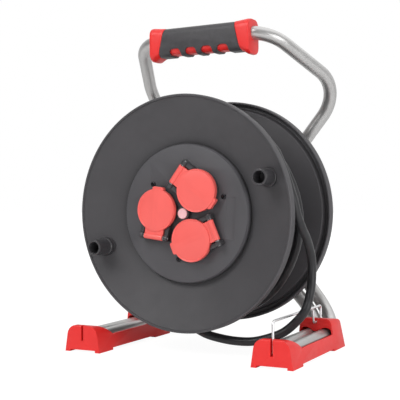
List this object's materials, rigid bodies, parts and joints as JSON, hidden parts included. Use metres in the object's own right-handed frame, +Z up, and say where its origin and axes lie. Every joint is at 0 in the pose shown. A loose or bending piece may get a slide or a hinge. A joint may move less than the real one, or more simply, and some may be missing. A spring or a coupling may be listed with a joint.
{
  "type": "extension cord reel",
  "caption": "Free-standing cable reel: tube frame with handle and feet, spinning drum with lidded sockets, crank knobs and rubber cable.",
  "frame": {"origin": "on the floor, in the middle of the frame's width and depth", "axes": "+X right seen from the front, +Y to the back, along the drum's axis, +Z up"},
  "size_m": [0.3525, 0.256, 0.412],
  "materials": {
    "frame_steel": "satin galvanised",
    "red_plastic": "satin moulded",
    "grip_rubber": "matt",
    "drum_plastic": "fine grain",
    "plate_plastic": "fine grain",
    "knob_plastic": "satin",
    "button_plastic": "gloss",
    "bush_plastic": "smooth",
    "housing_plastic": "fine grain",
    "zinc_steel": "zinc plated",
    "contact_brass": "bright",
    "cable_rubber": "matt"
  },
  "bodies": {
    "frame": {"frame_bow": "frame_steel", "lower_bow": "frame_steel", "foot_left": "red_plastic", "foot_right": "red_plastic", "foot_rivets": "zinc_steel", "cable_guide": "zinc_steel", "bearing_bracket": "housing_plastic", "bracket_cover": "housing_plastic", "bracket_screws": "zinc_steel", "axle": "zinc_steel", "axle_washer": "zinc_steel", "axle_clip": "zinc_steel", "handle_shell_upper": "red_plastic", "handle_shell_lower": "red_plastic", "grip_upper": "grip_rubber", "grip_lower": "grip_rubber", "handle_screws": "zinc_steel", "cord_loose": "cable_rubber", "cord_tail": "cable_rubber", "plug_relief": "cable_rubber", "plug_body": "cable_rubber", "plug_pins": "contact_brass"},
    "drum": {"front_flange": "drum_plastic", "rear_flange": "drum_plastic", "drum_barrel": "drum_plastic", "drum_hub": "drum_plastic", "bush_front": "bush_plastic", "bush_rear": "bush_plastic", "socket_plate": "plate_plastic", "plate_screws": "zinc_steel", "socket_insert_1": "plate_plastic", "socket_insert_2": "plate_plastic", "socket_insert_3": "plate_plastic", "earth_clips": "contact_brass", "live_contacts": "contact_brass", "lid_pins": "zinc_steel", "lid_springs": "zinc_steel", "thermal_cutout": "plate_plastic", "button_collar": "plate_plastic", "button_spring": "zinc_steel", "knob_studs": "knob_plastic", "cord_core": "cable_rubber", "cord_winding": "cable_rubber", "cord_gland": "drum_plastic", "cord_lead": "cable_rubber"},
    "lid_1": {"lid_1": "red_plastic", "lid_seal_1": "grip_rubber"},
    "lid_2": {"lid_2": "red_plastic", "lid_seal_2": "grip_rubber"},
    "lid_3": {"lid_3": "red_plastic", "lid_seal_3": "grip_rubber"},
    "button": {"reset_button": "button_plastic"},
    "knob_1": {"crank_knob_1": "knob_plastic"},
    "knob_2": {"crank_knob_2": "knob_plastic"}
  },
  "joints": [
    {"name": "drum_spin", "type": "hinge", "parent": "frame", "child": "drum", "pos_m": [0, 0, 0.173], "axis": [0, 1, 0], "continuous": true},
    {"name": "lid_1_hinge", "type": "hinge", "parent": "drum", "child": "lid_1", "pos_m": [-0.00496, -0.08225, 0.22085], "axis": [-0.6074, 0, -0.7944], "range_deg": [0, 105], "stiffness_Nm_per_rad": 0.02, "springref_deg": -28.65},
    {"name": "lid_2_hinge", "type": "hinge", "parent": "drum", "child": "lid_2", "pos_m": [-0.03896, -0.08225, 0.14478], "axis": [0.9917, 0, -0.1288], "range_deg": [0, 105], "stiffness_Nm_per_rad": 0.02, "springref_deg": -28.65},
    {"name": "lid_3_hinge", "type": "hinge", "parent": "drum", "child": "lid_3", "pos_m": [0.04392, -0.08225, 0.15337], "axis": [-0.3843, 0, 0.9232], "range_deg": [0, 105], "stiffness_Nm_per_rad": 0.02, "springref_deg": -28.65},
    {"name": "button_press", "type": "slide", "parent": "drum", "child": "button", "axis": [0, 1, 0], "range_m": [0, 0.002], "stiffness_N_per_m": 800, "springref_m": -0.002},
    {"name": "knob_1_spin", "type": "hinge", "parent": "drum", "child": "knob_1", "pos_m": [0.11341, -0.09, 0.21518], "axis": [0, 1, 0], "continuous": true},
    {"name": "knob_2_spin", "type": "hinge", "parent": "drum", "child": "knob_2", "pos_m": [-0.11341, -0.09, 0.13082], "axis": [0, 1, 0], "continuous": true}
  ]
}
